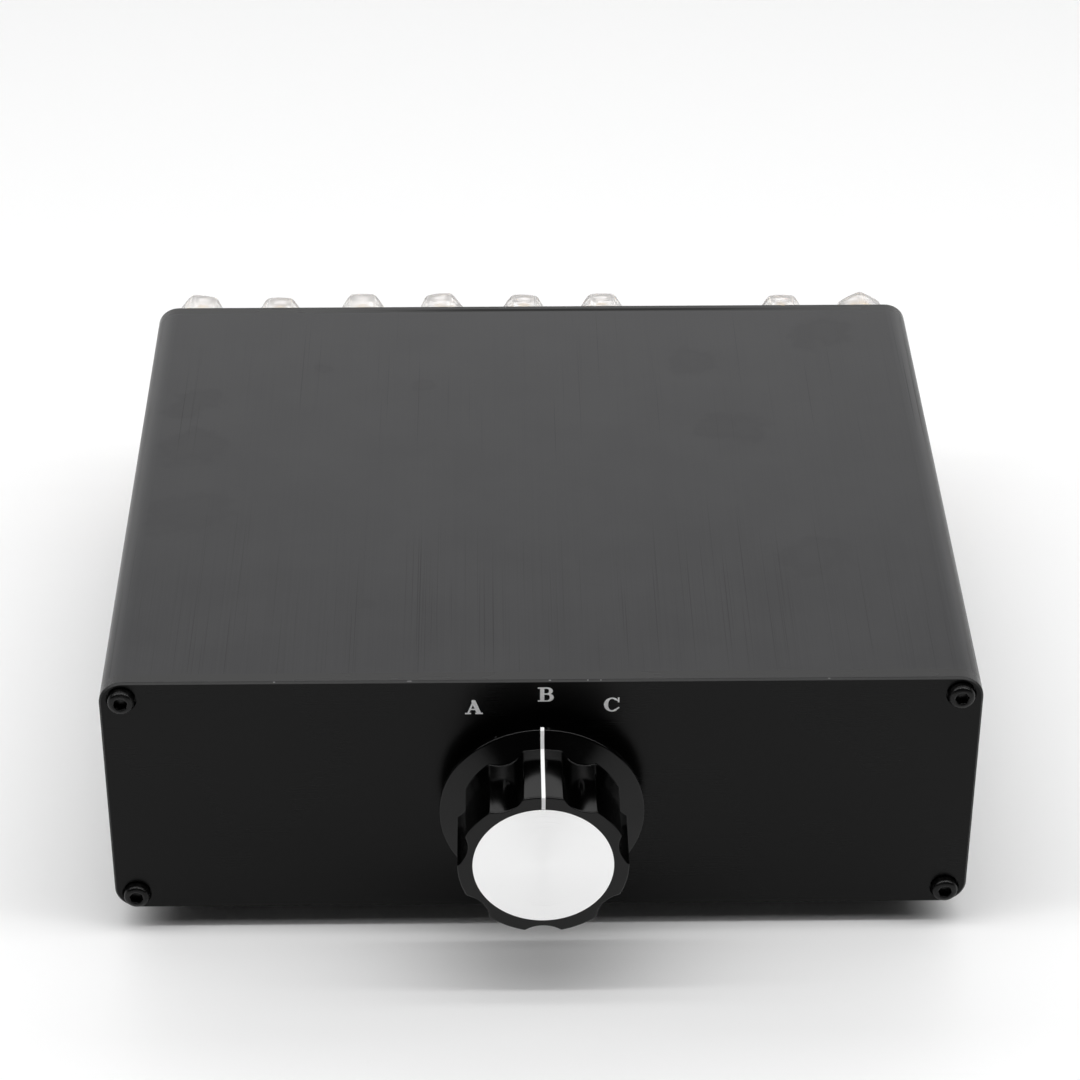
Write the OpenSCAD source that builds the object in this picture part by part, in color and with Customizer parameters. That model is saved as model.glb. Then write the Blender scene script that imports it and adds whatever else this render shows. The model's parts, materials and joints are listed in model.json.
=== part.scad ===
// Speaker-level source selector: an extruded case, a fluted knob on a four-deck
// rotary switch, and two rows of binding posts with clear screw caps.
// Millimetres, +Z up, knob towards -Y, origin on the floor under the case's centre.

/* [Case] */
// Width of the case
case_w = 176; // [170:1:240]
// Height of the case without its feet
case_h = 57.5; // [56:0.5:80]
// Depth of the case over both panels
case_d = 150; // [140:1:240]
// Radius of the case's long corners
corner_r = 5; // [4:0.5:7]
// Wall of the extruded sleeve
wall_t = 2.5; // [1.5:0.1:3]
// Thickness of the front and rear panels
panel_t = 3; // [2:0.1:4]
// Chamfer round the panels' outer edges
panel_chamfer = 0.4; // [0.1:0.1:0.8]

/* [Feet] */
// Height of the feet
foot_h = 5.5; // [3:0.5:12]
// Radius of a foot where it is stuck on
foot_r = 7.5; // [5:0.5:12]
// How much narrower a foot is at the floor
foot_taper = 0.8; // [0:0.1:2]
// Foot centre in from the case's sides and ends
foot_inset = 16; // [13:0.5:30]
// Radius of the hollow in a foot's sole
foot_hollow_r = 3.5; // [2:0.1:4]
// Depth of the hollow in a foot's sole
foot_hollow_d = 1.5; // [0.5:0.1:2.5]

/* [Panel screws] */
// Screw centre in from the case's sides
screw_in_x = 4.5; // [4.2:0.1:6]
// Screw centre in from the case's top and bottom
screw_in_z = 4; // [3.9:0.1:6]
// Radius of the thread
screw_r = 1.5; // [1.2:0.05:1.6]
// Length under the head
screw_l = 12; // [8:0.5:20]
// Radius of the head
screw_head_r = 2.75; // [2.2:0.05:3]
// Height of the head
screw_head_h = 3; // [2:0.1:4]
// Width across the flats of the head's socket
screw_socket_af = 2.5; // [1.5:0.1:2.6]
// Depth of the head's socket
screw_socket_d = 1.5; // [0.8:0.1:1.8]
// Depth of the seat that sinks the head into the panel
screw_sink = 1.2; // [0.4:0.1:1.4]
// Outer radius of the sleeve's screw channels
channel_r = 3.2; // [2.6:0.1:4]

/* [Knob] */
// Gap between the panel and the knob's skirt
skirt_gap = 4.4; // [3.8:0.1:8]
// Radius of the skirt's rim
skirt_r = 20.7; // [18:0.1:26]
// Thickness of the skirt's rim
skirt_rim_t = 1.2; // [0.8:0.1:2]
// Rise of the skirt from its rim to the lobes
skirt_rise = 1.2; // [0.5:0.1:3]
// Radius over the lobes
lobe_r = 17; // [15.5:0.1:17.8]
// Number of lobes, with one under the pointer
lobe_n = 7; // [5:1:9]
// Radius of the flutes between the lobes
flute_r = 6; // [4:0.1:7]
// Depth of the flutes
flute_d = 1.6; // [0.8:0.1:1.9]
// Distance of the knob's front from the panel
knob_front = 22.5; // [20:0.5:30]
// Chamfer round the front of the lobes
knob_chamfer = 0.6; // [0.2:0.1:1]
// Radius of the metal disc in the knob's front
disc_r = 14; // [10:0.1:14.4]
// Thickness of the metal disc
disc_t = 1; // [0.6:0.1:1.6]
// Radius of the hollow under the skirt
knob_hollow_r = 12; // [10:0.1:13]
// Depth of the hollow under the skirt
knob_hollow_d = 4; // [3:0.1:5]
// Radius of the grub screw
grub_r = 1.5; // [1:0.1:2]
// Length of the grub screw
grub_l = 5; // [3:0.1:7]
// Thickness left between the disc and the shaft's bore
crown_t = 2; // [1:0.1:3]

/* [Rotary switch] */
// Radius of the shaft
shaft_r = 3; // [2.5:0.05:3.3]
// Depth of the shaft's flat under the grub screw
shaft_flat = 0.6; // [0.3:0.1:1]
// Thickness of the shaft's blade
blade_t = 2.4; // [1.6:0.1:3]
// Radius of the threaded bushing
bushing_r = 4.7; // [4.2:0.1:5.5]
// Length of the bushing in front of the panel
bushing_l = 4; // [3.6:0.1:5]
// Thickness of the washer under the nut
washer_t = 0.8; // [0.4:0.1:1]
// Radius of that washer
washer_r = 8; // [7:0.1:9]
// Thickness of the nut
nut_t = 2.4; // [1.5:0.1:2.6]
// Width across the flats of the nut
nut_af = 14; // [13:0.1:16]
// Width of the index plate
index_w = 48; // [47:0.5:52]
// Height of the index plate
index_h = 32; // [31:0.5:34]
// Thickness of the index plate
index_t = 1.6; // [1:0.1:2.5]
// Radius of the index wheel
wheel_r = 10; // [9:0.1:10.5]
// Thickness of the index wheel
wheel_t = 2.5; // [1.5:0.1:3.5]
// Radius of the index wheel's notches
notch_r = 1.6; // [1.2:0.1:1.8]
// Depth of the index wheel's notches
notch_d = 1; // [0.6:0.1:1.2]
// Thickness of the detent leaf
leaf_t = 0.5; // [0.3:0.1:0.8]
// Half the length of the detent leaf
leaf_l = 12; // [10:0.5:14]
// Distance from the index plate to the first deck, and between decks
spacer_l = 9; // [8:0.5:14]
// Outer radius of the spacers
spacer_r = 3; // [2.4:0.1:3.5]
// Distance of the tie bolts from the shaft
tie_x = 19; // [18.5:0.1:20]
// Radius of the tie bolts
tie_r = 1.5; // [1.2:0.05:1.8]
// Width across the flats of the tie bolts' nuts
tie_nut_af = 5.5; // [5:0.1:6.5]
// Thickness of the tie bolts' nuts
tie_nut_t = 2.4; // [1.5:0.1:3]
// Radius of a deck
wafer_r = 13.5; // [13:0.1:14]
// Thickness of a deck
wafer_t = 1.6; // [1.2:0.1:2.4]
// Radius of a rotor
rotor_r = 10.5; // [10:0.1:11]
// Outer radius of a rotor contact's ring
ring_r = 8.2; // [7.6:0.1:8.6]
// Width of a rotor contact's ring
ring_w = 2; // [1.5:0.1:2.4]
// Thickness of a rotor contact
contact_t = 0.3; // [0.2:0.05:0.5]
// Distance of a lug's tip from the shaft
lug_r = 16; // [15.5:0.1:16.5]
// Width of a lug
lug_w = 2.6; // [2:0.1:3]
// Thickness of a lug
lug_t = 0.5; // [0.3:0.05:0.8]

/* [Binding posts] */
// Distance between the two posts of a set
post_pitch = 19.05; // [16:0.05:20]
// Distance between neighbouring sets
set_pitch = 39.1; // [36:0.1:40]
// Centre of the outermost posts in from the case's sides
post_edge = 8; // [8:0.1:11]
// Distance between the two rows
row_pitch = 26.2; // [20:0.1:28]
// Radius of a stem's thread outside the case
barrel_r = 3; // [2.8:0.05:3.2]
// Length of that thread
barrel_l = 16.5; // [15:0.1:20]
// Radius of the plug socket
socket_r = 2.05; // [1.9:0.01:2.1]
// Depth of the plug socket
socket_l = 13; // [10:0.1:13.5]
// Radius of the cross hole for bare wire
wire_hole_r = 1; // [0.6:0.1:1.1]
// Radius of a stem's clamping flange
flange_r = 5.2; // [4.6:0.1:6]
// Thickness of that flange
flange_t = 1.5; // [1:0.1:2.5]
// Radius of a stem's stud inside the case
stud_r = 2.5; // [2.2:0.1:2.6]
// Length of that stud behind the panel
stud_l = 14; // [12:0.5:18]
// Radius of the solder cup in the stud's end
cup_r = 1.3; // [1.1:0.1:1.6]
// Depth of that cup
cup_l = 4; // [2:0.5:5]
// Radius of a collar
collar_r = 6.5; // [6:0.1:7.2]
// Thickness of a collar outside the panel
collar_t = 3.5; // [2:0.1:5]
// Radius of the collar's spigot in the panel
spigot_r = 4.5; // [3.5:0.1:5]
// Radius of the inner washer
inner_washer_r = 5.2; // [4.9:0.1:5.4]
// Thickness of the inner washer
inner_washer_t = 1.5; // [0.8:0.1:3]
// Width across the flats of the post's nut
post_nut_af = 8; // [7:0.1:9]
// Thickness of the post's nut
post_nut_t = 4; // [2.5:0.1:5]

/* [Screw caps] */
// Width across the flats of a cap
cap_af = 10.6; // [10.4:0.1:13]
// Radius that rounds a cap's corners
cap_corner_r = 5.85; // [5.7:0.05:7]
// Length of a cap
cap_l = 18.3; // [18:0.1:22]
// Chamfer round a cap's outer end
cap_chamfer = 0.7; // [0.3:0.1:1]
// Thickness of a cap's end wall
cap_end_t = 1.5; // [1:0.1:1.7]
// Radius of the hole in a cap's end
cap_hole_r = 2.4; // [2.2:0.1:2.8]
// Wall of the brass insert
insert_wall = 1; // [0.8:0.05:1.2]
// Length of the brass insert
insert_l = 12.8; // [8:0.1:15]
// Gap between a tightened cap and its flange
cap_gap = 0.2; // [0.1:0.05:0.6]
// Rise of a cap in one turn
thread_pitch = 0.8; // [0.5:0.05:0.8]

/* [Wires] */
// Radius of a wire over its sleeve
wire_r = 0.8; // [0.6:0.05:0.9]
// Height step between the wires of neighbouring decks
wire_step = 2.2; // [2.1:0.1:2.3]
// How far a wire runs on from its stud before it turns up
wire_lead = 5; // [4:0.5:8]
// Length that each bend takes from a wire's straight runs
wire_bend = 1.3; // [1.2:0.1:1.4]

/* [Fits] */
// Clearance round a piece that is seated
fit_gap = 0.05; // [0.03:0.01:0.1]
// Clearance round a piece that turns or slides
run_gap = 0.07; // [0.05:0.01:0.1]
// Clearance in an open hole or between faces that pass each other
free_gap = 0.3; // [0.15:0.05:0.35]
// Spare length where a shaft, bolt or wire runs past or stops short of its neighbour
end_gap = 1; // [0.6:0.1:1.2]

/* [Hidden] */
$fn = 64;
sources = 3;
columns = 2 * sources + 2;
decks = 4;
// Turn between two positions of the switch
index_angle = 30;
notches = 360 / index_angle;
// How far a cutter reaches past what it cuts
over = 1;
axis_z = foot_h + case_h / 2;
sleeve_d = case_d - 2 * panel_t;
seat_r = screw_head_r + free_gap;
skirt_top = skirt_gap + skirt_rim_t + skirt_rise;
bore_end = knob_front - disc_t - crown_t;
shaft_end = bore_end - end_gap;
hollow_top = skirt_gap + knob_hollow_d;
grub_z = (hollow_top + shaft_end) / 2;
flat_y = shaft_r - shaft_flat;
index_back = -panel_t - index_t;
wheel_z = index_back - free_gap;
nose_r = notch_r - free_gap;
nose_y = wheel_r - notch_d + notch_r;
leaf_y = nose_y + nose_r;
leaf_rise = 1.2;
foot_w = 2;
stack_end = deck_z(decks - 1) - wafer_t;
blade_end = stack_end - 2 * end_gap;
first_angle = -1.5 * index_angle;
ring_angle = 88;
ring_steps = 6;
ear_wall = 0.8;
ear_r = spacer_r + ear_wall;
post_side = case_w / 2 - post_edge;
flange_z = collar_t + flange_t;
barrel_end = flange_z + barrel_l;
cap_z = flange_z + cap_gap;
insert_r = barrel_r + run_gap + insert_wall;
stud_end = -panel_t - stud_l;
rise_y = case_d / 2 - panel_t - stud_l - wire_lead;
row_step = 4;
top_level = case_h / 2 - wall_t - wire_r - end_gap;
wire_sides = 8;
// How far each cap stands round from flat, upper row then lower, in degrees
cap_angles = [8, 0, 0, 54, 3, 0, 0, 30, 12, 3, 26, 0, 9, 17, 4, 22];
// How many turns each cap stands open, in the same order
cap_opens = [1.5, 0, 2, 2, 1, 1.5, 0, 0.5, 0.5, 0, 1, 0, 1.5, 0.5, 0, 1];

// Posts are counted along the upper row from the left, then along the lower row
function post_name(i) = str(i < columns ? "upper_" : "lower_", i % columns + 1);
function post_x(i) =
  let (c = i % columns)
  c < 2 * sources ? floor(c / 2) * set_pitch + c % 2 * post_pitch - post_side
                  : post_side - (columns - 1 - c) * post_pitch;
function post_z(i) = axis_z + (i < columns ? 1 : -1) * row_pitch / 2;
// The outputs are wired with their positive post outermost
function is_red(i) =
  let (c = i % columns)
  c < 2 * sources ? c % 2 == 0 : c == columns - 1;
function deck_z(d) = index_back - spacer_l - d * (wafer_t + spacer_l);
function lug_angle(j) = first_angle + j * index_angle;
function unit(v) = v / norm(v);

// Turns and moves a shape drawn upwards so that it stands out of the front panel
module at_front() {
  translate([0, -case_d / 2, axis_z])
    rotate([90, 0, 0])
      children();
}

// The same for the rear panel
module at_rear() {
  translate([0, case_d / 2, axis_z])
    rotate([-90, 0, 0])
      children();
}

module at_post(i) {
  translate([post_x(i), case_d / 2, post_z(i)])
    rotate([-90, 0, 0])
      children();
}

module at_screws() {
  for (sx = [-1, 1], sz = [-1, 1])
    translate([sx * (case_w / 2 - screw_in_x), sz * (case_h / 2 - screw_in_z), 0])
      children();
}

module at_ties() {
  for (sx = [-1, 1])
    translate([sx * tie_x, 0, 0])
      children();
}

module rounded_rect(w, h, r) {
  square([w - 2 * r, h], center = true);
  square([w, h - 2 * r], center = true);
  for (sx = [-1, 1], sy = [-1, 1])
    translate([sx * (w / 2 - r), sy * (h / 2 - r)])
      circle(r);
}

module hex(af, h) {
  cylinder(h = h, r = af / sqrt(3), $fn = 6);
}

module ring(outer, inner, h) {
  difference() {
    cylinder(h = h, r = outer);
    translate([0, 0, -over])
      cylinder(h = h + 2 * over, r = inner);
  }
}

// Half the section of a panel's rim, r from its middle, bevelled at the face
function rim(r) = [
  [0, -panel_t],
  [r, -panel_t],
  [r, -panel_chamfer],
  [r - panel_chamfer, 0],
  [0, 0]
];

// A bar along X with that section on both sides
module bevel_bar(l, w) {
  rotate([90, 0, 90])
    translate([0, 0, -l / 2])
      linear_extrude(l) {
        polygon(rim(w / 2));
        mirror([1, 0])
          polygon(rim(w / 2));
      }
}

// Panel plate with its inner face at -panel_t and its bevelled face at 0
module panel_blank() {
  bevel_bar(case_w - 2 * corner_r, case_h);
  rotate([0, 0, 90])
    bevel_bar(case_h - 2 * corner_r, case_w);
  for (sx = [-1, 1], sy = [-1, 1])
    translate([sx * (case_w / 2 - corner_r), sy * (case_h / 2 - corner_r), 0])
      rotate_extrude()
        polygon(rim(corner_r));
}

module screw_holes() {
  at_screws() {
    translate([0, 0, -panel_t - over])
      cylinder(h = panel_t + 2 * over, r = screw_r + free_gap / 2);
    translate([0, 0, -screw_sink])
      cylinder(h = screw_sink + over, r = seat_r);
  }
}

module case_sleeve() {
  color("#2b2b2f")
    translate([0, sleeve_d / 2, axis_z])
      rotate([90, 0, 0])
        linear_extrude(sleeve_d)
          difference() {
            rounded_rect(case_w, case_h, corner_r);
            difference() {
              rounded_rect(case_w - 2 * wall_t, case_h - 2 * wall_t, corner_r - wall_t);
              at_screws()
                circle(channel_r);
            }
            at_screws()
              circle(screw_r + fit_gap);
          }
}

module front_panel() {
  color("#1c1c1f")
    at_front()
      difference() {
        panel_blank();
        screw_holes();
        translate([0, 0, -panel_t - over])
          cylinder(h = panel_t + 2 * over, r = bushing_r + fit_gap);
      }
}

module rear_panel() {
  color("#1c1c1f")
    difference() {
      at_rear() {
        difference() {
          panel_blank();
          screw_holes();
        }
      }
      for (i = [0:2 * columns - 1])
        at_post(i)
          translate([0, 0, -panel_t - over])
            cylinder(h = panel_t + 2 * over, r = spigot_r + fit_gap);
    }
}

module socket_screw() {
  difference() {
    union() {
      translate([0, 0, -screw_sink])
        cylinder(h = screw_head_h, r = screw_head_r);
      translate([0, 0, -screw_sink - screw_l])
        cylinder(h = screw_l + (screw_head_h - screw_socket_d) / 2, r = screw_r);
    }
    translate([0, 0, screw_head_h - screw_sink - screw_socket_d])
      hex(screw_socket_af, screw_socket_d + over);
  }
}

module panel_screws() {
  color("#111113") {
    at_front()
      at_screws()
        socket_screw();
    at_rear()
      at_screws()
        socket_screw();
  }
}

module rubber_feet() {
  color("#161616")
    for (sx = [-1, 1], sy = [-1, 1])
      translate([sx * (case_w / 2 - foot_inset), sy * (case_d / 2 - foot_inset), 0])
        difference() {
          cylinder(h = foot_h, r1 = foot_r - foot_taper, r2 = foot_r);
          translate([0, 0, -over])
            cylinder(h = foot_hollow_d + over, r = foot_hollow_r);
        }
}

// Lobed grip: a turned blank with flutes cut along it, one lobe upwards
module knob_lobes() {
  intersection() {
    rotate_extrude()
      polygon([
        [0, skirt_gap + skirt_rim_t],
        [lobe_r + over, skirt_gap + skirt_rim_t],
        [lobe_r + over, knob_front - knob_chamfer - over],
        [lobe_r - knob_chamfer, knob_front],
        [0, knob_front]
      ]);
    linear_extrude(knob_front + over)
      difference() {
        circle(lobe_r);
        at_flutes()
          circle(flute_r);
      }
  }
}

module at_flutes() {
  for (k = [0:lobe_n - 1])
    rotate([0, 0, 90 + (k + 0.5) * 360 / lobe_n])
      translate([lobe_r - flute_d + flute_r, 0, 0])
        children();
}

// Cones that break the flutes' front edges
module flute_bevels() {
  at_flutes()
    translate([0, 0, knob_front - 2 * knob_chamfer])
      cylinder(h = 3 * knob_chamfer, r1 = flute_r - knob_chamfer, r2 = flute_r + 2 * knob_chamfer);
}

// The skirt's cone runs on under the lobes as far as the flutes' floors
module knob_skirt() {
  under = flute_d + over;
  rotate_extrude()
    polygon([
      [0, skirt_gap],
      [skirt_r, skirt_gap],
      [skirt_r, skirt_gap + skirt_rim_t],
      [lobe_r - under, skirt_top + under * skirt_rise / (skirt_r - lobe_r)],
      [0, skirt_top + under * skirt_rise / (skirt_r - lobe_r)]
    ]);
}

module knob_body() {
  color("#0e0e10")
    at_front()
      difference() {
        union() {
          knob_skirt();
          knob_lobes();
        }
        flute_bevels();
        translate([0, 0, skirt_gap - over])
          cylinder(h = knob_hollow_d + over, r = knob_hollow_r);
        translate([0, 0, skirt_gap])
          cylinder(h = bore_end - skirt_gap, r = shaft_r + fit_gap);
        translate([0, 0, knob_front - disc_t])
          cylinder(h = disc_t + over, r = disc_r + fit_gap);
        translate([0, 0, grub_z])
          rotate([90, 0, 0])
            cylinder(h = lobe_r + over, r = grub_r + fit_gap);
      }
}

module knob_cap() {
  color("#d8d8da")
    at_front()
      translate([0, 0, knob_front - disc_t])
        cylinder(h = disc_t, r = disc_r);
}

module knob_set_screw() {
  color("#1a1a1a")
    at_front()
      translate([0, -flat_y - fit_gap, grub_z])
        rotate([90, 0, 0])
          difference() {
            cylinder(h = grub_l, r = grub_r);
            translate([0, 0, grub_l / 2])
              hex(grub_r, grub_l);
          }
}

// Round at the knob with a flat below, and a flat blade through the switch
module switch_shaft() {
  color("#b9b9bd")
    at_front() {
      difference() {
        translate([0, 0, index_back])
          cylinder(h = shaft_end - index_back, r = shaft_r);
        translate([-shaft_r, -2 * shaft_r - flat_y, hollow_top])
          cube([2 * shaft_r, 2 * shaft_r, shaft_end]);
      }
      translate([0, 0, blade_end])
        linear_extrude(index_back - blade_end)
          blade_outline(0);
    }
}

module blade_outline(gap) {
  intersection() {
    circle(shaft_r + gap);
    square([4 * shaft_r, blade_t + 2 * gap], center = true);
  }
}

module switch_frame() {
  color("#c9c4b4")
    at_front()
      difference() {
        union() {
          translate([0, 0, index_back])
            linear_extrude(index_t)
              rounded_rect(index_w, index_h, spacer_r);
          translate([0, 0, -panel_t])
            cylinder(h = panel_t + bushing_l, r = bushing_r);
        }
        translate([0, 0, index_back - over])
          cylinder(h = bushing_l - index_back + 2 * over, r = shaft_r + run_gap);
        at_ties()
          translate([0, 0, index_back - over])
            cylinder(h = index_t + 2 * over, r = tie_r + fit_gap);
      }
}

module switch_washer() {
  color("#bdbdbd")
    at_front()
      ring(washer_r, bushing_r + fit_gap, washer_t);
}

module switch_nut() {
  color("#c8c8c8")
    at_front()
      translate([0, 0, washer_t])
        difference() {
          hex(nut_af, nut_t);
          translate([0, 0, -over])
            cylinder(h = nut_t + 2 * over, r = bushing_r + fit_gap);
        }
}

module index_wheel() {
  color("#8f8f93")
    at_front()
      translate([0, 0, wheel_z - wheel_t])
        linear_extrude(wheel_t)
          difference() {
            circle(wheel_r);
            blade_outline(fit_gap);
            for (k = [0:notches - 1])
              rotate(k * index_angle)
                translate([0, nose_y])
                  circle(notch_r);
          }
}

// A bowed leaf whose nose lies in the top notch and whose feet stand on the index plate
module detent_spring() {
  foot_y = leaf_y + leaf_rise;
  color("#a8a8a0")
    at_front() {
      translate([0, 0, wheel_z - wheel_t])
        linear_extrude(wheel_t)
          union() {
            translate([0, nose_y])
              circle(nose_r);
            for (s = [-1, 1])
              polygon([
                [0, leaf_y - leaf_t],
                [s * leaf_l, foot_y - leaf_t],
                [s * leaf_l, foot_y],
                [0, leaf_y]
              ]);
          }
      for (s = [-1, 1])
        translate([s * leaf_l, foot_y - leaf_t / 2, (wheel_z - wheel_t + index_back) / 2])
          cube([foot_w, leaf_t, index_back - wheel_z + wheel_t], center = true);
    }
}

module wafer_outline() {
  circle(wafer_r);
  square([2 * tie_x, 2 * ear_r], center = true);
  at_ties()
    circle(ear_r);
}

module switch_wafers() {
  color("#8a5a2b")
    at_front()
      for (d = [0:decks - 1])
        translate([0, 0, deck_z(d) - wafer_t])
          linear_extrude(wafer_t)
            difference() {
              wafer_outline();
              circle(rotor_r + run_gap);
              at_ties()
                circle(tie_r + fit_gap);
            }
}

// Three throws that reach the contact's tongue, and a common that reaches its ring
module wafer_lugs() {
  throw_in = ring_r + 2 * free_gap;
  common_in = ring_r - ring_w / 2;
  color("#d0cfc8")
    at_front()
      for (d = [0:decks - 1], j = [0:sources])
        let (inner = j == sources ? common_in : throw_in)
          translate([0, 0, deck_z(d)])
            rotate([0, 0, -lug_angle(j)])
              translate([-lug_w / 2, inner, 0])
                cube([lug_w, lug_r - inner, lug_t]);
}

module switch_rotors() {
  face = free_gap / 2 + contact_t;
  color("#caa26a")
    at_front()
      for (d = [0:decks - 1])
        translate([0, 0, deck_z(d) - wafer_t])
          linear_extrude(wafer_t - face)
            difference() {
              circle(rotor_r);
              blade_outline(fit_gap);
            }
}

// A ring segment that stays under the common, with a tongue under the middle throw
module contact_outline() {
  start = lug_angle(1) - index_angle / 5;
  far = 2 * ring_r;
  intersection() {
    difference() {
      circle(ring_r);
      circle(ring_r - ring_w);
    }
    polygon(concat(
      [[0, 0]],
      [for (k = [0:ring_steps])
        let (a = start + k * (ring_angle - start) / ring_steps) far * [sin(a), cos(a)]]
    ));
  }
  rotate(-lug_angle(1))
    translate([-lug_w / 2, ring_r - ring_w / 2])
      square([lug_w, rotor_r - free_gap - ring_r + ring_w / 2]);
}

module rotor_contacts() {
  color("#e0dccb")
    at_front()
      for (d = [0:decks - 1])
        translate([0, 0, deck_z(d) - free_gap / 2 - contact_t])
          linear_extrude(contact_t)
            contact_outline();
}

module switch_spacers() {
  color("#bfbfc4")
    at_front()
      at_ties()
        for (d = [0:decks - 1])
          translate([0, 0, deck_z(d)])
            ring(spacer_r, tie_r + fit_gap, spacer_l);
}

module tie_bolts() {
  bolt_end = stack_end - tie_nut_t - end_gap;
  color("#a5a5aa")
    at_front()
      at_ties() {
        translate([0, 0, bolt_end])
          cylinder(h = -panel_t - fit_gap - bolt_end, r = tie_r);
        translate([0, 0, stack_end - tie_nut_t])
          difference() {
            hex(tie_nut_af, tie_nut_t);
            translate([0, 0, -over])
              cylinder(h = tie_nut_t + 2 * over, r = tie_r + fit_gap);
          }
      }
}

// Turned stem: stud with a solder cup, flange, and a threaded barrel with the socket
module post_stem() {
  difference() {
    rotate_extrude()
      polygon([
        [0, stud_end],
        [stud_r, stud_end],
        [stud_r, collar_t],
        [flange_r, collar_t],
        [flange_r, flange_z],
        [barrel_r, flange_z],
        [barrel_r, barrel_end],
        [0, barrel_end]
      ]);
    translate([0, 0, barrel_end - socket_l])
      cylinder(h = socket_l + over, r = socket_r);
    translate([0, 0, stud_end - over])
      cylinder(h = cup_l + over, r = cup_r);
    translate([-flange_r, 0, flange_z + wire_hole_r + free_gap])
      rotate([0, 90, 0])
        cylinder(h = 2 * flange_r, r = wire_hole_r);
  }
}

module post_stems() {
  color("#d9b65a")
    for (i = [0:2 * columns - 1])
      at_post(i)
        post_stem();
}

module collar() {
  difference() {
    rotate_extrude()
      polygon([
        [0, -panel_t],
        [spigot_r, -panel_t],
        [spigot_r, 0],
        [collar_r, 0],
        [collar_r, collar_t],
        [0, collar_t]
      ]);
    translate([0, 0, -panel_t - over])
      cylinder(h = panel_t + collar_t + 2 * over, r = stud_r + fit_gap);
  }
}

module collars_red() {
  color("#b01818")
    for (i = [0:2 * columns - 1])
      if (is_red(i))
        at_post(i)
          collar();
}

module collars_black() {
  color("#1a1a1c")
    for (i = [0:2 * columns - 1])
      if (!is_red(i))
        at_post(i)
          collar();
}

module post_washers() {
  color("#202022")
    for (i = [0:2 * columns - 1])
      at_post(i)
        translate([0, 0, -panel_t - inner_washer_t])
          ring(inner_washer_r, stud_r + fit_gap, inner_washer_t);
}

module post_nuts() {
  color("#d2b062")
    for (i = [0:2 * columns - 1])
      at_post(i)
        translate([0, 0, -panel_t - inner_washer_t - post_nut_t])
          difference() {
            hex(post_nut_af, post_nut_t);
            translate([0, 0, -over])
              cylinder(h = post_nut_t + 2 * over, r = stud_r + fit_gap);
          }
}

module insert(i) {
  color("#d9b65a")
    at_post(i)
      translate([0, 0, cap_z + cap_opens[i] * thread_pitch])
        ring(insert_r, barrel_r + run_gap, insert_l);
}

// Clear six-sided cap, open towards the panel, with a plug hole in its end
module cap(i) {
  insert_end = insert_l + run_gap;
  color("#e8e4de", 0.5)
    at_post(i)
      translate([0, 0, cap_z + cap_opens[i] * thread_pitch])
        difference() {
          intersection() {
            rotate([0, 0, cap_angles[i]])
              hex(cap_af, cap_l);
            rotate_extrude()
              polygon([
                [0, 0],
                [cap_corner_r, 0],
                [cap_corner_r, cap_l - cap_chamfer],
                [cap_corner_r - cap_chamfer, cap_l],
                [0, cap_l]
              ]);
          }
          translate([0, 0, -over])
            cylinder(h = insert_end + over, r = insert_r + run_gap);
          translate([0, 0, insert_end - over])
            cylinder(h = cap_l - cap_end_t - insert_end + over, r = barrel_r + 2 * run_gap);
          cylinder(h = cap_l + over, r = cap_hole_r);
        }
}

// Three points that round the corner b between a and c
function bend(a, b, c) =
  let (u = b + wire_bend * unit(a - b), v = b + wire_bend * unit(c - b))
  [u, (u + 2 * b + v) / 4, v];

// Out of the solder cup, up to its deck's level, across, and down to its lug
function wire_route(i, d, j) =
  let (
    x = post_x(i),
    z = post_z(i),
    turn = rise_y - (i < columns ? 0 : row_step),
    level = axis_z + top_level - d * wire_step,
    tip = lug_r + fit_gap,
    slope = lug_angle(j),
    lug_x = tip * sin(slope),
    lug_y = -case_d / 2 - deck_z(d) - lug_t / 2,
    a = [x, case_d / 2 + stud_end + cup_l - free_gap, z],
    b = [x, turn, z],
    c = [x, turn, level],
    e = [lug_x, lug_y, level],
    f = [lug_x, lug_y, axis_z + tip * cos(slope) + wire_r * abs(tan(slope))]
  )
  concat([a], bend(a, b, c), bend(b, c, e), bend(c, e, f), [f]);

// Round tube along a list of points, with one ring of corners at each
module tube(route) {
  last = len(route) - 1;
  function along(k) = unit(route[min(k + 1, last)] - route[max(k - 1, 0)]);
  function corner(k, s) =
    let (
      t = along(k),
      side = unit(cross(t, [1, 0, 0])),
      up = cross(side, t),
      a = s * 360 / wire_sides
    )
    route[k] + wire_r * (cos(a) * side + sin(a) * up);
  function at(k, s) = k * wire_sides + s % wire_sides;
  polyhedron(
    points = [for (k = [0:last], s = [0:wire_sides - 1]) corner(k, s)],
    faces = concat(
      [for (s = [1:wire_sides - 2]) [at(0, 0), at(0, s), at(0, s + 1)]],
      [for (s = [1:wire_sides - 2]) [at(last, 0), at(last, s + 1), at(last, s)]],
      [for (k = [0:last - 1], s = [0:wire_sides - 1]) [at(k, s), at(k + 1, s), at(k, s + 1)]],
      [for (k = [0:last - 1], s = [0:wire_sides - 1])
        [at(k, s + 1), at(k + 1, s), at(k + 1, s + 1)]]
    )
  );
}

// The wires of one colour: the upper row's go to the first two decks
module wires(red) {
  for (row = [0, 1])
    let (posts = [for (c = [0:columns - 1]) if (is_red(c) == red) row * columns + c])
      for (j = [0:sources])
        tube(wire_route(posts[j], 2 * row + (red ? 0 : 1), j));
}

module wires_red() {
  color("#a81c1c")
    wires(true);
}

module wires_black() {
  color("#1e1e20")
    wires(false);
}

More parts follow.
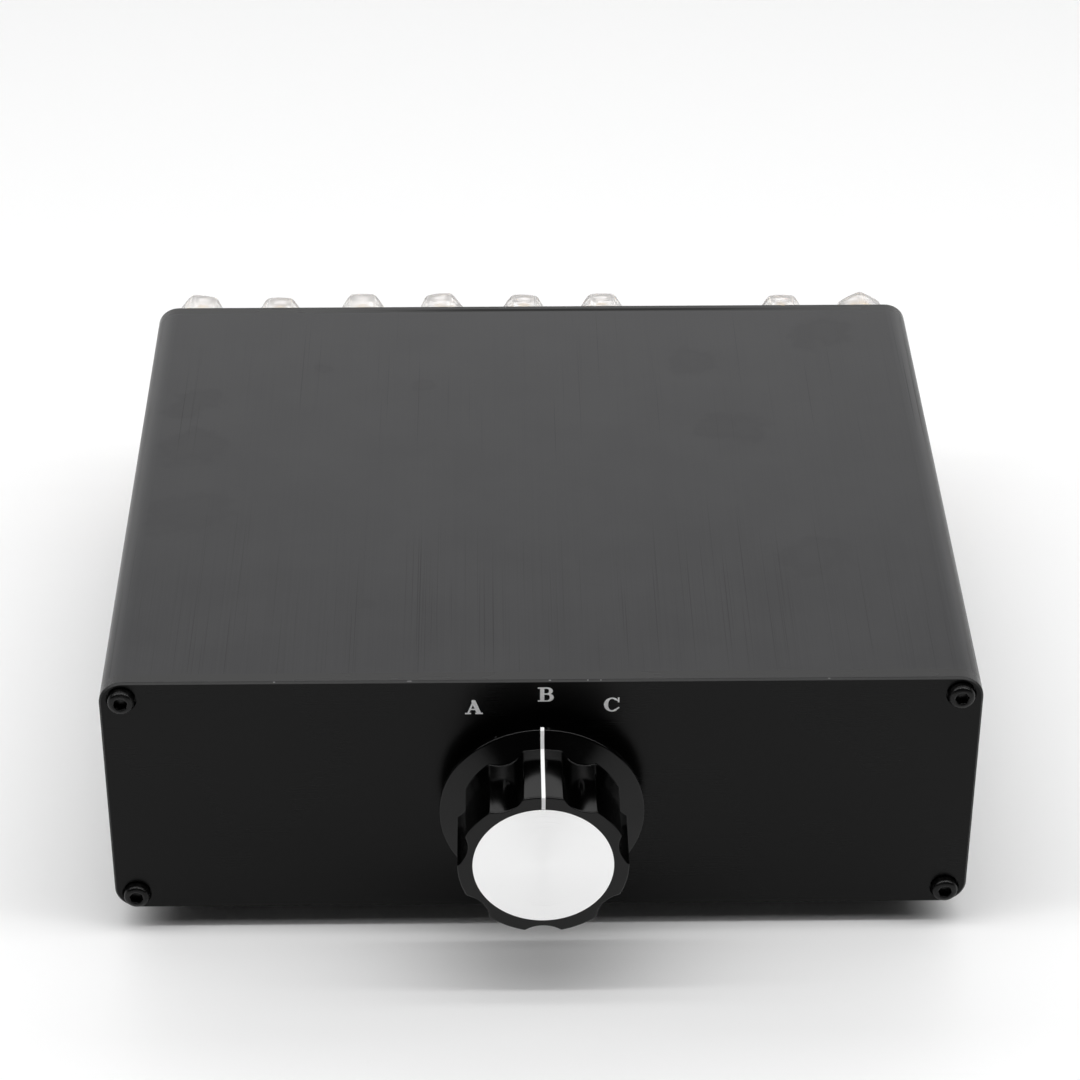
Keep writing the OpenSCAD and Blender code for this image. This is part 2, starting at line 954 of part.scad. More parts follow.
case_sleeve();
front_panel();
rear_panel();
panel_screws();
rubber_feet();
knob_body();
knob_cap();
knob_set_screw();
switch_shaft();
switch_frame();
switch_washer();
switch_nut();
index_wheel();
detent_spring();
switch_wafers();
wafer_lugs();
switch_rotors();
rotor_contacts();
switch_spacers();
tie_bolts();
post_stems();
collars_red();
collars_black();
post_washers();
post_nuts();
wires_red();
wires_black();
for (i = [0:2 * columns - 1]) {
  insert(i);
  cap(i);
}
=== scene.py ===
import bmesh
import bpy
import json
import math
import numpy as np
from mathutils import Matrix, Vector


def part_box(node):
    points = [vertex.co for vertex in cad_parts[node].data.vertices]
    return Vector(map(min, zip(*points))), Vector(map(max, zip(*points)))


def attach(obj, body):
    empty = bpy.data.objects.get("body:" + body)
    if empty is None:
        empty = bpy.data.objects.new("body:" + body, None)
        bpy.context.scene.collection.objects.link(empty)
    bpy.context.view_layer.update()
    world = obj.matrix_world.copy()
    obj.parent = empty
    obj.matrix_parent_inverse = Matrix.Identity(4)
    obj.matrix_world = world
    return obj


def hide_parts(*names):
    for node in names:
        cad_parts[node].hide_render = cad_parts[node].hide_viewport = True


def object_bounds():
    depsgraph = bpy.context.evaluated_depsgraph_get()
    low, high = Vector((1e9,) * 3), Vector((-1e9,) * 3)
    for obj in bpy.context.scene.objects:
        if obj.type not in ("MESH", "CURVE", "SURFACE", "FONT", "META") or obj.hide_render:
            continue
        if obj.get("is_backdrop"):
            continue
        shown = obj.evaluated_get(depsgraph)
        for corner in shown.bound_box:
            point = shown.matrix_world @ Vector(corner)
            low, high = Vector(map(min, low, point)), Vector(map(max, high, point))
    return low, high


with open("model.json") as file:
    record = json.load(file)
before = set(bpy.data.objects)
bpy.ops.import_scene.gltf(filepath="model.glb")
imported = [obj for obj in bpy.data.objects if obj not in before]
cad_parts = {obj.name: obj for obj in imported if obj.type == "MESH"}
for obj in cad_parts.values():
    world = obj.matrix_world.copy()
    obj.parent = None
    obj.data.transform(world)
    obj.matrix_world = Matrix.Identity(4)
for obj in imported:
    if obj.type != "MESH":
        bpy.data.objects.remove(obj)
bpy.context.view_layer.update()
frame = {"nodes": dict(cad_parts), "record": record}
nodes = frame["nodes"]
mm = 0.001
print("frame loaded,", len(nodes), "nodes")

# places read from the frame
panelLow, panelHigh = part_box("front_panel")
panelMid, panelHalf = (panelLow + panelHigh) / 2, (panelHigh - panelLow) / 2
knobLow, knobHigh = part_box("knob_body")
axisX, axisZ = (knobLow.x + knobHigh.x) / 2, (knobLow.z + knobHigh.z) / 2
frontY, backY = panelLow.y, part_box("rear_panel")[1].y


class Flow:
    # a socket that takes part in Python arithmetic, each step adding a Math node
    def __init__(self, tree, socket=None):
        self.tree, self.socket = tree, socket

    def node(self, kind, settings=None, links=None, out=0):
        made = self.tree.nodes.new(kind)
        for key, value in (settings or {}).items():
            setattr(made, key, value)
        for key, value in (links or {}).items():
            if isinstance(value, Flow):
                self.tree.links.new(value.socket, made.inputs[key])
            else:
                made.inputs[key].default_value = value
        return Flow(self.tree, made.outputs[out] if len(made.outputs) else None)

    def sum(self, operation, a, b=0.0):
        return self.node("ShaderNodeMath", {"operation": operation}, {0: a, 1: b})

    def __add__(self, other): return self.sum("ADD", self, other)
    def __radd__(self, other): return self.sum("ADD", other, self)
    def __sub__(self, other): return self.sum("SUBTRACT", self, other)
    def __rsub__(self, other): return self.sum("SUBTRACT", other, self)
    def __mul__(self, other): return self.sum("MULTIPLY", self, other)
    def __rmul__(self, other): return self.sum("MULTIPLY", other, self)
    def __truediv__(self, other): return self.sum("DIVIDE", self, other)
    def __rtruediv__(self, other): return self.sum("DIVIDE", other, self)
    def __pow__(self, other): return self.sum("POWER", self, other)
    def __abs__(self): return self.sum("ABSOLUTE", self)
    def least(self, other): return self.sum("MINIMUM", self, other)
    def most(self, other): return self.sum("MAXIMUM", self, other)


def stretch(place, x, y, z):  # object coordinates with each axis multiplied
    return place.node("ShaderNodeMapping", None, {"Vector": place, "Scale": (x, y, z)})


def cloud(place, scale=1.0, detail=2.0, rough=0.5):  # smooth noise, about 0.5
    return place.node("ShaderNodeTexNoise", None,
                      {"Vector": place, "Scale": scale, "Detail": detail, "Roughness": rough})


def ramp(value, low, high):  # 0 at low to 1 at high, eased at both ends
    return value.node("ShaderNodeMapRange", {"interpolation_type": "SMOOTHSTEP"},
                      {"Value": value, "From Min": low, "From Max": high})


def tint(mask, first, second):  # colour from first to second as the mask rises
    return mask.node("ShaderNodeMix", {"data_type": "RGBA"}, {0: mask, 6: first, 7: second}, 2)


def axes(place):  # x, y and z as values
    made = place.node("ShaderNodeSeparateXYZ", None, {0: place})
    outs = made.socket.node.outputs
    return [Flow(place.tree, outs[k]) for k in range(3)]


def relief(height, strength, depth=0.02 * mm):  # bump from a height of 0 to 1
    return height.node("ShaderNodeBump", None,
                       {"Height": height, "Strength": strength, "Distance": depth})


def finishOf(name, build):
    material = bpy.data.materials.new(name)
    material.use_nodes = True
    tree = material.node_tree
    tree.nodes.clear()
    start = Flow(tree)
    place = start.node("ShaderNodeTexCoord", out="Object")
    shader = start.node("ShaderNodeBsdfPrincipled", None, build(place))
    start.node("ShaderNodeOutputMaterial", None, {"Surface": shader})
    return material


def grey(level, warm=0.0):
    return (level * (1 + warm), level, level * (1 - warm), 1)


# brushed black anodising: fine lines along the sleeve, darker strokes that start at the front
# end, soft smudges, and prints left by handling
caseLook = {
    "line": (3600, 8, 3600), "stroke": (4000, 12, 4000), "strokeReach": 80 * mm, "strokeShow": (0.675, 0.775),
    "smudge": 60, "blot": 150, "dark": 0.008, "pale": 0.016,
    "rough": 0.34, "specular": 0.298, "sheen": (0.945, 0.945, 1.0, 1), "bump": 0.10,
    "prints": [  # middle and radius on the top face, in millimetres
        (-74, -13, 8.5), (-75, 12, 7.0), (-77, 31, 6.0), (-48, 46, 1.7), (-25, 39, 2.0), (-35, -48, 2.0),
        (58, -32, 8.0), (45, 20, 6.5), (36, 48, 6.0), (68, 62, 7.5)],
}


def caseAnodised(place):
    x, y, z = axes(place)
    line = cloud(stretch(place, *caseLook["line"]), 1, 2)
    stroke = cloud(stretch(place, *caseLook["stroke"]), 1, 1)
    smudge = cloud(place, caseLook["smudge"], 3, 0.55)
    blot = cloud(place, caseLook["blot"], 3, 0.6)
    nearFront = 1 - ramp(y, frontY, frontY + caseLook["strokeReach"])
    strokes = ramp(stroke + 0.055 * nearFront, *caseLook["strokeShow"])
    prints = 0
    for printX, printY, reach in caseLook["prints"]:  # ragged spots, paler in the middle
        away = ((x - printX * mm) ** 2 + (y - printY * mm) ** 2) ** 0.5 / (reach * mm) + 2.6 * (blot - 0.5)
        prints = prints + (1 - ramp(away, 0.65, 1.25)) * (0.55 + 0.45 * ramp(away, 0.2, 0.75))
    prints = prints * ramp(z, panelHigh.z - 1 * mm, panelHigh.z - 0.5 * mm)  # on the top face only
    rough = caseLook["rough"] + 0.10 * (line - 0.5) + 0.05 * (smudge - 0.5) + 0.20 * strokes + 0.05 * prints
    shade = ramp(0.45 * line + 0.55 * smudge, 0.25, 0.75) * (1 - 0.8 * strokes) * (1 - 0.3 * prints.least(1))
    return {
        "Base Color": tint(shade, grey(caseLook["dark"]), grey(caseLook["pale"])),
        "Roughness": rough,
        "Specular IOR Level": caseLook["specular"],
        "Specular Tint": caseLook["sheen"],
        "Normal": relief(line + 0.6 * stroke, caseLook["bump"]),
    }


# satin black panels with faint brushing across, a painted highlight on the bevel that is palest along the top
# and a thin painted highlight along the outline, a few nicks on the top front edge and painted shade along
# the top rear edge
panelLook = {
    "line": (18, 400, 3000), "haze": 26, "ragged": 1500, "dark": 0.0006, "pale": 0.0016,
    "rough": 0.27, "specular": 0.155, "bump": 0.006,
    "corner": 5 * mm, "rim": 0.030, "bevelHighlight": (0.010, 0.066), "bevelWidth": 0.40 * mm, "bare": 0.55,
    "seamShadeIn": 2.1 * mm, "seamShadeHalf": (0.35 * mm, 0.85 * mm),
    "seamShadeMid": 13 * mm, "seamShadeReach": (20 * mm, 68 * mm),
    "nicks": [  # place along the edge and half width, in millimetres
        (-53.0, 0.2), (-26.3, 0.5), (1.6, 0.3), (9.1, 0.18), (11.7, 0.18), (57.0, 0.25)],
}


def panelSatin(place):
    x, y, z = axes(place)
    line = cloud(stretch(place, *panelLook["line"]), 1, 2)
    haze = cloud(place, panelLook["haze"], 3)
    # distance in from the rounded outline
    qx = abs(x - panelMid.x) - (panelHalf.x - panelLook["corner"])
    qz = abs(z - panelMid.z) - (panelHalf.z - panelLook["corner"])
    corner = (qx.most(0) ** 2 + qz.most(0) ** 2) ** 0.5
    inset = panelLook["corner"] - corner - qx.most(qz).least(0)
    ragged = cloud(place, panelLook["ragged"], 2)
    nick = 0
    for spot, reach in panelLook["nicks"]:
        nick = nick + 1 - ramp(abs(x - spot * mm) / (reach * mm) + ragged - 0.5, 0.7, 1.0)
    topEdge = ramp(z, panelHigh.z - 0.25 * mm, panelHigh.z - 0.1 * mm)
    frontEdge = 1 - ramp(y, frontY + 0.2 * mm, frontY + 0.4 * mm)
    bare = nick.least(1) * (frontEdge * topEdge)
    shade = ramp(line * 0.3 + haze * 0.7, 0.3, 0.7)
    # painted highlight: a pale band on the bevel round the outline
    bevelHighlight = 1 - ramp(inset, 0.9 * panelLook["bevelWidth"], 1.1 * panelLook["bevelWidth"])
    # painted highlight: a thin pale line right along the outline
    rim = 1 - ramp(inset, 0.02 * mm, 0.08 * mm)
    # the bevel's painted highlight is palest near the top, where the light falls from above, and dimmer on
    # the sides
    upper = ramp(z, panelHigh.z - 3 * mm, panelHigh.z - 0.4 * mm)
    edge = tint(upper, *[grey(level) for level in panelLook["bevelHighlight"]])
    black = tint(bevelHighlight, tint(shade, grey(panelLook["dark"]), grey(panelLook["pale"])), edge)
    black = tint(rim, black, grey(panelLook["rim"]))
    # painted shade: a dark, rougher line in the joint behind the sleeve's rear end, deepest in the middle and
    # fading to the sides
    seamShade = 1 - ramp(abs(y - (backY - panelLook["seamShadeIn"])), *panelLook["seamShadeHalf"])
    seamShade = seamShade * (1 - ramp(abs(x - panelLook["seamShadeMid"]), *panelLook["seamShadeReach"]))
    black = tint(seamShade, black, grey(panelLook["dark"]))
    return {
        "Base Color": tint(bare, black, grey(panelLook["bare"])),
        "Metallic": bare,
        "Roughness": panelLook["rough"] + 0.015 * (line - 0.5) + 0.06 * (haze - 0.5) + 0.3 * seamShade,
        "Specular IOR Level": panelLook["specular"],
        "Normal": relief(line, panelLook["bump"]),
    }


# moulded knob: glossy black with a faint moulded grain and a few rubbed spots
knobLook = {
    "grain": 2600, "rub": 120, "black": 0.0003, "rubbed": 0.0008,
    "rough": 0.11, "specular": 0.26, "bump": 0.03,
}


def knobMoulded(place):
    grain = cloud(place, knobLook["grain"], 2)
    rub = ramp(cloud(place, knobLook["rub"], 3, 0.6), 0.5, 0.72)
    return {
        "Base Color": tint(rub, grey(knobLook["black"]), grey(knobLook["rubbed"])),
        "Roughness": knobLook["rough"] + 0.05 * (grain - 0.5) + 0.04 * rub,
        "Specular IOR Level": knobLook["specular"],
        "Normal": relief(grain, knobLook["bump"]),
    }


# turned aluminium: grooves round the middle, about a tenth of a millimetre apart
discLook = {"groove": 9000, "smear": 160, "pale": 0.94, "dull": 0.89, "rough": 0.16, "bump": 0.35}


def discSpun(place):
    x, z = axes(place)[::2]
    radius = ((x - axisX) ** 2 + (z - axisZ) ** 2) ** 0.5
    ring = place.node("ShaderNodeTexNoise", {"noise_dimensions": "1D"},
                      {"W": radius, "Scale": discLook["groove"], "Detail": 2.0, "Roughness": 0.6})
    smear = cloud(place, discLook["smear"], 3)
    return {
        "Base Color": tint(ring, grey(discLook["dull"]), grey(discLook["pale"])),
        "Metallic": 1.0,
        "Roughness": discLook["rough"] + 0.05 * (smear - 0.5),
        "Normal": relief(ring, discLook["bump"]),
    }


# blackened steel screws, paler in worn patches
screwLook = {
    "fine": 2400, "patch": 700, "black": 0.002, "worn": 0.008, "rough": 0.26, "specular": 0.23, "bump": 0.08,
}


def screwBlack(place):
    fine = cloud(place, screwLook["fine"], 3)
    patch = ramp(cloud(place, screwLook["patch"], 2), 0.45, 0.75)
    return {
        "Base Color": tint(patch, grey(screwLook["black"]), grey(screwLook["worn"], 0.02)),
        "Roughness": screwLook["rough"] + 0.12 * (fine - 0.5),
        "Specular IOR Level": screwLook["specular"],
        "Normal": relief(fine, screwLook["bump"]),
    }


# plain worked metal with fine marks and stains
metalLook = {"mark": (900, 5400, 900), "stain": 130, "bump": 0.08}


def metalFinish(dull, bright, rough):
    def build(place):
        mark = cloud(stretch(place, *metalLook["mark"]), 1, 2)
        stain = cloud(place, metalLook["stain"], 3)
        return {
            "Base Color": tint(ramp(0.6 * mark + 0.4 * stain, 0.3, 0.7), dull, bright),
            "Metallic": 1.0,
            "Roughness": rough + 0.12 * (stain - 0.5),
            "Normal": relief(mark, metalLook["bump"]),
        }
    return build


# gold plate: bright, with duller stains and faint turning marks round the posts
goldLook = {
    "stain": 260, "mark": (500, 9000, 500), "dull": (0.60, 0.40, 0.13, 1), "bright": (0.83, 0.62, 0.27, 1),
    "rough": 0.20, "bump": 0.10,
}


def goldPlated(place):
    stain = cloud(place, goldLook["stain"], 3)
    mark = cloud(stretch(place, *goldLook["mark"]), 1, 1)
    return {
        "Base Color": tint(stain, goldLook["dull"], goldLook["bright"]),
        "Metallic": 1.0,
        "Roughness": goldLook["rough"] + 0.14 * (stain - 0.5),
        "Normal": relief(mark + 0.5 * stain, goldLook["bump"]),
    }


# moulded plastic and rubber with flow marks and a fine grain
plasticLook = {"flow": 190, "grain": 3200, "bump": 0.05}


def plasticFinish(deep, pale, rough, specular=0.5):
    def build(place):
        flow = cloud(place, plasticLook["flow"], 4, 0.6)
        grain = cloud(place, plasticLook["grain"], 1)
        return {
            "Base Color": tint(ramp(flow, 0.35, 0.65), deep, pale),
            "Roughness": rough + 0.10 * (grain - 0.5) + 0.05 * (flow - 0.5),
            "Specular IOR Level": specular,
            "Normal": relief(grain, plasticLook["bump"]),
        }
    return build


# clear caps: slightly hazed where they have been handled
clearLook = {
    "patch": 160, "grain": 1500, "clean": (0.99, 0.975, 0.96, 1), "touched": (0.98, 0.955, 0.94, 1),
    "rough": 0.09, "handled": 0.06, "bend": 1.42, "clear": 0.71, "bump": 0.015,
}


def capClear(place):
    haze = ramp(cloud(place, clearLook["patch"], 2), 0.35, 0.75)
    grain = cloud(place, clearLook["grain"], 2)
    return {
        "Base Color": tint(haze, clearLook["clean"], clearLook["touched"]),
        "Roughness": clearLook["rough"] + clearLook["handled"] * haze,
        "IOR": clearLook["bend"],
        "Transmission Weight": clearLook["clear"],
        "Normal": relief(grain, clearLook["bump"]),
    }


finishes = {
    "case": finishOf("caseAnodised", caseAnodised),
    "panel": finishOf("panelSatin", panelSatin),
    "screw": finishOf("screwBlack", screwBlack),
    "rubber": finishOf("footRubber", plasticFinish(grey(0.012), grey(0.024), 0.75, 0.3)),
    "knob": finishOf("knobMoulded", knobMoulded),
    "disc": finishOf("discSpun", discSpun),
    "steel": finishOf("switchSteel", metalFinish(grey(0.42), grey(0.62), 0.28)),
    "cast": finishOf("switchPlate", metalFinish((0.50, 0.46, 0.36, 1), (0.66, 0.62, 0.50, 1), 0.34)),
    "phenolic": finishOf("deckPhenolic", plasticFinish((0.20, 0.09, 0.03, 1), (0.30, 0.15, 0.06, 1), 0.5)),
    "contact": finishOf("contactSilver", metalFinish(grey(0.62, 0.02), grey(0.80, 0.02), 0.22)),
    "gold": finishOf("postGold", goldPlated),
    "red_plastic": finishOf(
        "collarRed", plasticFinish((0.30, 0.008, 0.008, 1), (0.42, 0.014, 0.012, 1), 0.28)),
    "black_plastic": finishOf("collarBlack", plasticFinish(grey(0.006), grey(0.014), 0.30)),
    "clear_plastic": finishOf("capClear", capClear),
    "red_wire": finishOf("wireRed", plasticFinish((0.32, 0.012, 0.010, 1), (0.44, 0.020, 0.016, 1), 0.42)),
    "black_wire": finishOf("wireBlack", plasticFinish(grey(0.010), grey(0.020), 0.45)),
}
for entry in frame["record"]["subparts"]:
    slots = nodes[entry["node"]].data.materials
    slots.clear()
    slots.append(finishes[entry["material_slot"]])
print("finishes made:", len(finishes))


def gridFaces(rows, cols, ring=False):
    # four-cornered faces between neighbouring rows and columns of a point grid; the columns
    # run round, and so do the rows of a ring
    r = np.arange(rows if ring else rows - 1)[:, None]
    c = np.arange(cols)[None, :]
    a = r * cols + c
    b = r * cols + (c + 1) % cols
    d = (r + 1) % rows * cols + c
    e = (r + 1) % rows * cols + (c + 1) % cols
    return np.stack([a, b, e, d], -1).reshape(-1, 4)


def meshOf(name, points, faces):
    mesh = bpy.data.meshes.new(name)
    mesh.from_pydata(np.asarray(points).reshape(-1, 3).tolist(), [], [list(map(int, f)) for f in faces])
    shape = bmesh.new()
    shape.from_mesh(mesh)
    if shape.calc_volume(signed=True) < 0:  # faces point outwards
        bmesh.ops.reverse_faces(shape, faces=shape.faces)
    shape.to_mesh(mesh)
    shape.free()
    return mesh


def putPiece(name, mesh, finish, body, crease=None, node=None):
    mesh.materials.append(finish)
    mesh.polygons.foreach_set("use_smooth", np.full(len(mesh.polygons), crease is not None))
    if crease is not None:  # edges sharper than this many degrees stay sharp
        mesh.set_sharp_from_angle(angle=math.radians(crease))
    mesh.update()
    piece = bpy.data.objects.new(name, mesh)
    bpy.context.scene.collection.objects.link(piece)
    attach(piece, body)
    if node:
        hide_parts(node)


def softened(profile, radius, steps=4):
    # each inner corner of an open profile is cut back along its two sides, by 0.42 of a side at
    # most, and bridged by a curve that starts and ends along them, with one more point on each
    # side so that the flats stay flat; columns past the second are carried along
    p, cut = np.asarray(profile, float), np.asarray(radius, float)[:, None]
    before, after = p[:-2] - p[1:-1], p[2:] - p[1:-1]
    reach = [np.linalg.norm(v[:, :2], axis=1, keepdims=True) for v in (before, after)]
    a, b = (p[1:-1] + v * np.minimum(cut / far, 0.42) for v, far in zip((before, after), reach))
    aOut, bOut = (p[1:-1] + v * np.minimum(1.5 * cut / far, 0.48) for v, far in zip((before, after), reach))
    t = np.linspace(0, 1, steps)[None, :, None]
    curve = a[:, None] * (1 - t) ** 2 + 2 * p[1:-1][:, None] * t * (1 - t) + b[:, None] * t ** 2
    curve = np.concatenate([aOut[:, None], curve, bOut[:, None]], 1)
    return np.concatenate([p[:1], curve.reshape(-1, p.shape[1]), p[-1:]])


def turned(radius, along, angle, ring=False):
    # a surface round an axis: radius and distance along it for each row and angle, either
    # joined into a ring or closed at both ends by a flat face
    radius, along, angle = np.broadcast_arrays(radius, along, angle)
    points = np.stack([radius * np.sin(angle), along, radius * np.cos(angle)], -1)
    rows, cols = angle.shape
    faces = gridFaces(rows, cols, ring).tolist()
    if not ring:
        faces += [list(range(cols))[::-1], list(range((rows - 1) * cols, rows * cols))]
    return points.reshape(-1, 3), faces


def stand(part, x, y, z, way=1):  # lays a turned part's axis along Y at a place, in millimetres
    points, faces = part
    if way < 0:  # a mirrored part's faces run the other way round
        faces = [face[::-1] for face in faces]
    return points * [1, way, 1] * mm + np.array([x, y, z]) * mm, faces


def roundAngles(count, turn=0.0):
    return (np.arange(count) * 2 * math.pi / count + math.radians(turn))[None, :]


def sixSided(angle, flats):  # distance from the middle of a hexagon to its side at each angle
    third = math.pi / 3
    return flats / 2 / np.cos((angle + third / 2) % third - third / 2)


def climb(along, angle, pitch):  # a thread: a wave from 0 to 1 that climbs one pitch a turn
    return np.abs((along / pitch + angle / (2 * math.pi)) % 1 * 2 - 1)


def strip(path, side, up, half, thick, sink):
    # a flat band: a box section carried along a path, its half width given at each point;
    # points run round the section, rows run along the path
    path, side, up = (np.asarray(v, float) for v in (path, side, up))
    half = np.broadcast_to(np.asarray(half, float), (len(path),))[:, None]
    low, high = path - sink * up, path + thick * up
    points = np.stack([low - half * side, high - half * side, high + half * side, low + half * side], 1)
    faces = gridFaces(len(path), 4).tolist()
    last = 4 * (len(path) - 1)
    return points.reshape(-1, 3), faces + [[3, 2, 1, 0], [last, last + 1, last + 2, last + 3]]


def joinParts(parts):
    shift = np.cumsum([0] + [len(p) for p, f in parts[:-1]])
    points = np.concatenate([p for p, f in parts])
    faces = [[k + s for k in face] for (p, f), s in zip(parts, shift) for face in f]
    return points, faces


# position letters round the knob: each stroke is a band whose width swells along it
letterLook = {
    "thick": 0.02 * mm, "sink": 0.01 * mm, "step": 0.001 * mm, "thin": 0.36, "fat": 0.95, "size": 0.89,
    "wear": 1400, "paint": 0.85, "rough": 0.5,
    "spots": {"A": (-13.55, 56.6), "B": (0.7, 59.6), "C": (14.0, 57.0)},  # x and z of the middles
}


def bar(x0, z0, x1, z1, width):  # a straight stroke
    return np.array([[x0, z0], [x1, z1]]), np.full(2, width)


def bow(cx, cz, rx, rz, a0, a1, thin, fat, count=28):
    # part of an ellipse, thin at its top and bottom and fat at its sides
    a = np.radians(np.linspace(a0, a1, count))
    return np.stack([cx + rx * np.cos(a), cz + rz * np.sin(a)], 1), thin + (fat - thin) * np.cos(a) ** 2


thin, fat = letterLook["thin"], letterLook["fat"]
letterStrokes = {
    "A": [
        bar(-1.32, -1.8, 0.0, 1.75, 0.42), bar(-0.12, 1.75, 1.18, -1.8, fat),
        bar(-0.95, -0.62, 0.6, -0.62, thin), bar(-2.0, -1.76, -0.62, -1.76, thin),
        bar(0.32, -1.76, 2.0, -1.76, thin), bar(-0.45, 1.84, 0.22, 1.84, 0.2)],
    "B": [
        bar(-0.72, -1.95, -0.72, 1.95, fat), bar(-1.7, 1.78, 0.3, 1.78, thin),
        bar(-1.7, -1.78, 0.3, -1.78, thin), bar(-0.4, 0.12, 0.35, 0.12, thin),
        bow(0.28, 0.95, 0.92, 0.83, 90, -90, thin, 0.86), bow(0.34, -0.83, 1.06, 0.95, 90, -90, thin, 0.92)],
    "C": [
        bow(-0.02, 0, 1.36, 1.76, 52, 308, thin, fat, 44), bar(1.42, 1.95, 1.42, 0.62, thin),
        bar(0.82, 1.4, 1.42, 1.0, thin), bar(0.80, -1.42, 1.55, -0.78, thin)],
}


def letterPaint(place):
    wear = cloud(place, letterLook["wear"], 3)
    return {
        "Base Color": tint(wear, grey(letterLook["paint"] * 0.8), grey(letterLook["paint"] * 1.2)),
        "Roughness": letterLook["rough"] + 0.2 * (wear - 0.5),
    }


paint = finishOf("letterPaint", letterPaint)
for letter, strokes in letterStrokes.items():
    spot = letterLook["spots"][letter]
    parts = []
    for rise, (line, width) in enumerate(strokes):
        line = line * letterLook["size"] + spot
        path = np.stack([line[:, 0], np.full(len(line), frontY / mm), line[:, 1]], 1) * mm
        run = np.gradient(path, axis=0)
        run /= np.linalg.norm(run, axis=1, keepdims=True)
        up = np.tile([0.0, -1.0, 0.0], (len(path), 1))
        high = letterLook["thick"] + rise * letterLook["step"]  # no two strokes share a face
        half = width * letterLook["size"] * mm / 2
        parts.append(strip(path, np.cross(up, run), up, half, high, letterLook["sink"]))
    putPiece("letter_" + letter, meshOf("letter_" + letter, *joinParts(parts)), paint, "case")
print("letters made:", len(letterStrokes))

# knob: a turned outline whose grip follows the lobes; its last two columns say how much
# of the flutes' depth pulls a point in and lifts it along the skirt's cone
knobShape = {
    "skirt": 20.7, "lobe": 17.0, "lobes": 7, "flute": 6.0, "depth": 1.6, "blur": 0.10, "crease": 35,
    "turnover": 0.523, "spread": 0.06,  # where a lobe meets a flute, and the finer grid there
    "grub": 1.55, "grubFrom": 3.0, "grubTo": 19.0, "steps": 5,
    "outline": [
        [0.05, 21.5, 0, 0], [14.05, 21.5, 0, 0], [14.05, 22.5, 0, 0], [17.0, 22.5, 1, 0], [17.0, 7.1, 1, 1],
        [20.7, 5.6, 0, 0], [20.7, 4.4, 0, 0], [12.0, 4.4, 0, 0], [12.0, 8.4, 0, 0], [3.05, 8.4, 0, 0],
        [3.05, 19.5, 0, 0], [0.05, 19.5, 0, 0]],
    "edges": [0.05, 0.10, 0.35, 0.20, 0.22, 0.18, 0.2, 0.2, 0.2, 0.2],
}


def gripRadius(angle):
    # the smaller of the lobes' circle and the near side of a flute's circle, blended where they cross
    k = knobShape
    away = k["lobe"] + k["flute"] - k["depth"]
    step = 2 * math.pi / k["lobes"]
    off = angle % step - step / 2
    inside = np.maximum(k["flute"] ** 2 - (away * np.sin(off)) ** 2, 0)
    flute = np.where(inside > 0, away * np.cos(off) - np.sqrt(inside), away)
    return -k["blur"] * np.log(np.exp((k["lobe"] - flute) / k["blur"]) + 1) + k["lobe"]


def knobSurface():
    k = knobShape
    half = math.pi / k["lobes"]
    edge, near = k["turnover"] * half, k["spread"] * half
    stops = [(0, edge - near, 7), (edge - near, edge + near, 9), (edge + near, half, 12)]
    sector = np.concatenate([np.linspace(*stop, endpoint=False) for stop in stops])
    sector = np.concatenate([sector, [half], 2 * half - sector[:0:-1]])
    angle = (np.arange(k["lobes"])[:, None] * 2 * half + sector).reshape(1, -1)
    rows = softened(k["outline"], k["edges"], k["steps"])[:, :, None]
    pull = k["lobe"] - gripRadius(angle)
    cone = (k["outline"][4][1] - k["outline"][5][1]) / (k["skirt"] - k["lobe"])
    return turned(rows[:, 0] - rows[:, 2] * pull, rows[:, 1] + rows[:, 3] * pull * cone, angle)


drillTurn = 3.7  # degrees, so that no edge of a drill lies on an edge of what it cuts


def drilled(mesh, points, faces):  # takes the drill's shape out of a mesh
    holders = [bpy.data.objects.new(m.name, m) for m in (mesh, meshOf("drill", points, faces))]
    for holder in holders:
        bpy.context.scene.collection.objects.link(holder)
    cut = holders[0].modifiers.new("cut", "BOOLEAN")
    cut.operation, cut.object, cut.solver = "DIFFERENCE", holders[1], "EXACT"
    bpy.context.view_layer.update()
    made = bpy.data.meshes.new_from_object(holders[0].evaluated_get(bpy.context.evaluated_depsgraph_get()))
    for holder in holders:
        bpy.data.meshes.remove(holder.data)
    return made


knobMesh = meshOf("knob_blank", *stand(knobSurface(), axisX / mm, frontY / mm, axisZ / mm, -1))
grubLow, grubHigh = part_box("knob_set_screw")
grubMid = (grubLow + grubHigh) / 2
ends = np.array([[knobShape["grubFrom"]], [knobShape["grubTo"]]])
drillPoints, drillFaces = turned(np.full((2, 1), knobShape["grub"]), ends, roundAngles(32, drillTurn))
drillPoints = drillPoints[:, [0, 2, 1]] * [1, 1, -1] * mm + np.array([axisX, grubMid.y, axisZ])
putPiece("knob_shell", drilled(knobMesh, drillPoints, drillFaces), finishes["knob"], "knob",
         knobShape["crease"], "knob_body")

# pointer: a white line carried over the top lobe's outline from the skirt's edge to the disc
pointerLook = {
    "width": 0.75 * mm, "thick": 0.03 * mm, "sink": 0.05 * mm, "inner": 14.06, "back": 4.6,
    "wear": 900, "dull": 0.84, "white": 0.94, "rough": 0.45,
}


def pointerWhite(place):
    wear = cloud(place, pointerLook["wear"], 3)
    return {
        "Base Color": tint(wear, grey(pointerLook["dull"]), grey(pointerLook["white"])),
        "Roughness": pointerLook["rough"] + 0.2 * (wear - 0.5),
    }


